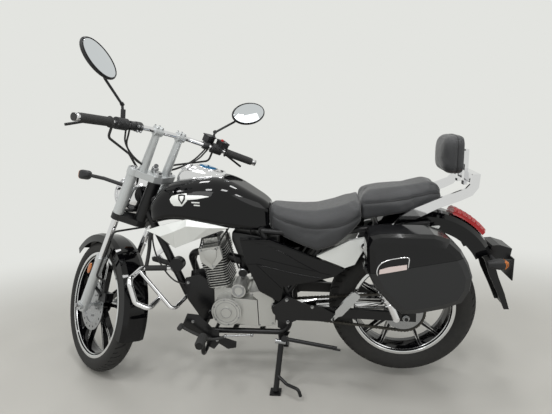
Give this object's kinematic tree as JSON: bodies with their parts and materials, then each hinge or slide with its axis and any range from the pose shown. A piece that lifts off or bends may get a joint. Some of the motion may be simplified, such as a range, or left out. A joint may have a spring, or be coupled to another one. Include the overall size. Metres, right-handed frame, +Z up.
{
  "type": "cruiser motorcycle",
  "caption": "Black cruiser motorcycle on its centre stand with hard saddlebags, crash bars, two-up seat, backrest and steering turned to its stop.",
  "frame": {"origin": "on the floor in the middle plane, midway between the feet of the centre stand", "axes": "+X forward along the machine, +Y to the rider's left, +Z up from the floor"},
  "size_m": [2.0674, 0.7148, 1.4411],
  "materials": {
    "soft": "satin",
    "bag": "gloss",
    "caliper": "satin",
    "steel": "brushed",
    "cast": "satin",
    "black_metal": "gloss",
    "chrome": "polished",
    "chain": "oiled",
    "slider": "satin",
    "lamp_body": "gloss",
    "paint": "gloss",
    "tyre": "matt",
    "wheel": "gloss",
    "rubber": "matt",
    "black_plastic": "matt",
    "glass": "clear",
    "silver": "satin",
    "red_lens": "clear",
    "yoke": "satin"
  },
  "bodies": {
    "chassis": {"backrest_pad": "soft", "bag_box_left": "bag", "bag_box_right": "bag", "carburettor": "cast", "crash_bars": "chrome", "drive_chain": "chain", "engine_case": "cast", "engine_covers": "cast", "engine_cylinder": "black_metal", "exhaust_pipe": "chrome", "foot_controls": "black_metal", "passenger_pegs": "caliper", "frame": "black_metal", "fuel_tank": "paint", "horn": "black_metal", "muffler": "chrome", "pillion_seat": "soft", "rear_indicators": "lamp_body", "rear_mudguard": "paint", "rear_panels": "silver", "rear_shocks": "chrome", "rider_seat": "soft", "side_covers": "paint", "side_scoops": "silver", "tail_piece": "black_plastic", "sissy_bar": "chrome", "swingarm": "black_metal", "tail_lamp": "red_lens", "tank_console": "black_plastic"},
    "steering": {"yokes": "yoke", "fork_tubes": "chrome", "fork_legs": "slider", "front_mudguard": "paint", "headlamp": "chrome", "headlamp_lens": "glass", "front_indicators": "lamp_body", "handlebar": "chrome", "risers": "chrome", "grips": "rubber", "hand_controls": "black_plastic", "mirrors": "black_plastic", "brake_caliper": "caliper", "brake_hose": "rubber", "switch_leads": "rubber"},
    "front_wheel": {"front_tyre": "tyre", "front_wheel": "wheel", "brake_disc": "steel"},
    "rear_wheel": {"rear_tyre": "tyre", "rear_wheel": "wheel", "rear_sprocket": "steel"},
    "centre_stand": {"centre_stand": "black_metal"},
    "side_stand": {"side_stand": "black_metal"},
    "lid_left": {"bag_lid_left": "bag"},
    "lid_right": {"bag_lid_right": "bag"}
  },
  "joints": [
    {"name": "steering", "type": "hinge", "parent": "chassis", "child": "steering", "pos_m": [0.82527, 0, 0.28004], "axis": [-0.4695, 0, 0.8829], "range_deg": [0, 83.6]},
    {"name": "front_axle", "type": "hinge", "parent": "steering", "child": "front_wheel", "pos_m": [0.85489, -0.02999, 0.29579], "axis": [0.5885, 0.7455, 0.3129], "continuous": true},
    {"name": "rear_axle", "type": "hinge", "parent": "chassis", "child": "rear_wheel", "pos_m": [-0.535, 0, 0.328], "axis": [0, 1, 0], "continuous": true},
    {"name": "centre_stand", "type": "hinge", "parent": "chassis", "child": "centre_stand", "pos_m": [-0.026, 0, 0.205], "axis": [0, 1, 0], "range_deg": [0, 70]},
    {"name": "side_stand", "type": "hinge", "parent": "chassis", "child": "side_stand", "pos_m": [-0.046, 0.154, 0.24], "axis": [0, 0.8988, 0.4384], "range_deg": [-95, 0]},
    {"name": "left_lid", "type": "hinge", "parent": "chassis", "child": "lid_left", "pos_m": [-0.364, 0.25, 0.599], "axis": [0, 1, 0], "range_deg": [0, 75]},
    {"name": "right_lid", "type": "hinge", "parent": "chassis", "child": "lid_right", "pos_m": [-0.364, -0.25, 0.599], "axis": [0, 1, 0], "range_deg": [0, 75]}
  ]
}
